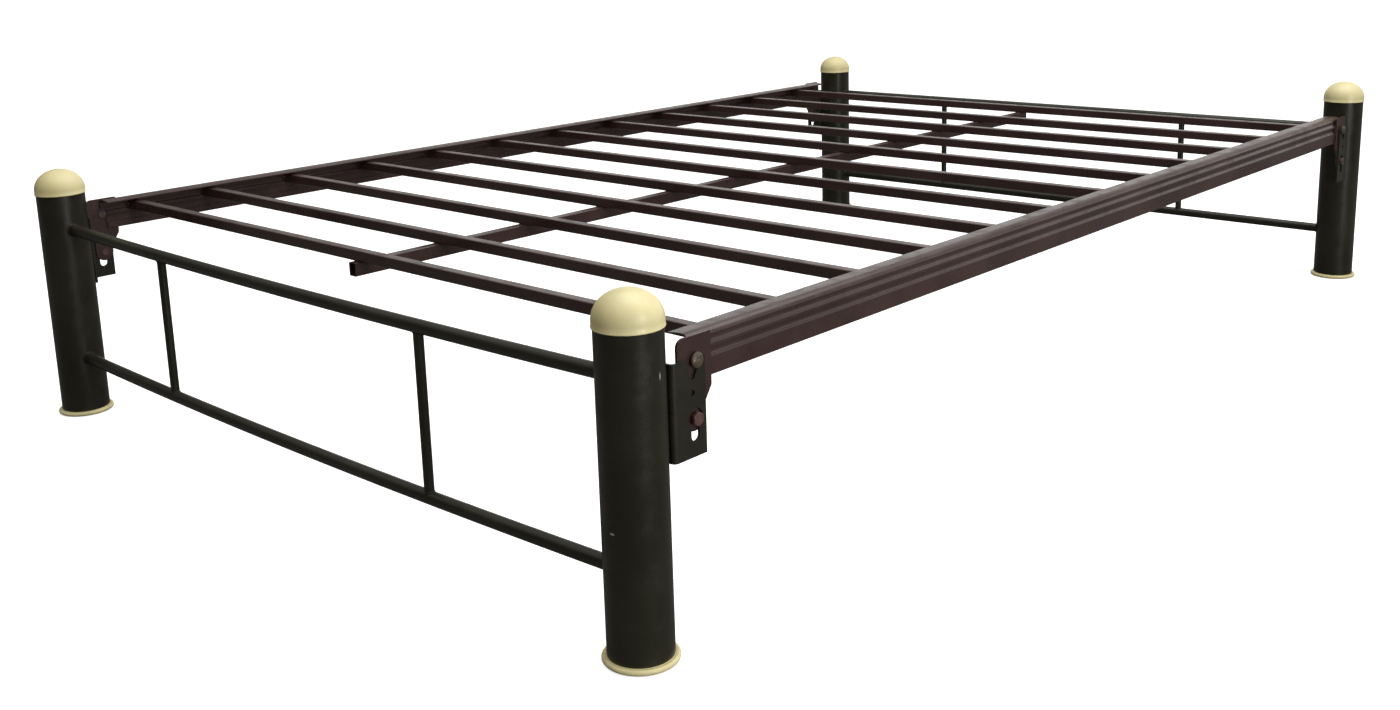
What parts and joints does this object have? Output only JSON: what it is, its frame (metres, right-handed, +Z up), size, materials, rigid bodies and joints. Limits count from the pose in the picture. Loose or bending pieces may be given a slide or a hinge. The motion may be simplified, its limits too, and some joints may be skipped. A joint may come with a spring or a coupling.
{
  "type": "metal bed frame",
  "caption": "Low metal bed frame: round posts with domed plastic caps, tube end frames, and side rails with cross slats that hook into slotted brackets.",
  "frame": {"origin": "on the floor, midway between the four posts", "axes": "+X across the bed towards its right side, +Y along the bed from the foot end (the bowed tubes) to the head end, +Z up"},
  "size_m": [1.428, 2.228, 0.419],
  "materials": {
    "black_paint": "satin",
    "brown_paint": "satin",
    "cream_plastic": "satin",
    "stud_paint": "satin"
  },
  "bodies": {
    "root": {"post_front_left": "black_paint", "cap_front_left": "cream_plastic", "foot_front_left": "cream_plastic", "bracket_front_left": "black_paint", "end_plate_front_left": "brown_paint", "post_front_right": "black_paint", "cap_front_right": "cream_plastic", "foot_front_right": "cream_plastic", "bracket_front_right": "black_paint", "end_plate_front_right": "brown_paint", "post_rear_left": "black_paint", "cap_rear_left": "cream_plastic", "foot_rear_left": "cream_plastic", "bracket_rear_left": "black_paint", "end_plate_rear_left": "brown_paint", "post_rear_right": "black_paint", "cap_rear_right": "cream_plastic", "foot_rear_right": "cream_plastic", "bracket_rear_right": "black_paint", "end_plate_rear_right": "brown_paint", "front_upper_tube": "black_paint", "front_lower_tube": "black_paint", "rear_upper_tube": "black_paint", "rear_lower_tube": "black_paint", "front_left_rod": "black_paint", "front_right_rod": "black_paint", "rear_left_rod": "black_paint", "rear_right_rod": "black_paint", "left_rail": "brown_paint", "right_rail": "brown_paint", "slat_01": "brown_paint", "slat_02": "brown_paint", "slat_03": "brown_paint", "slat_04": "brown_paint", "slat_05": "brown_paint", "slat_06": "brown_paint", "slat_07": "brown_paint", "slat_08": "brown_paint", "slat_09": "brown_paint", "slat_10": "brown_paint", "slat_11": "brown_paint", "slat_12": "brown_paint", "centre_tube": "brown_paint", "upper_studs": "stud_paint", "lower_studs": "stud_paint"}
  },
  "joints": []
}
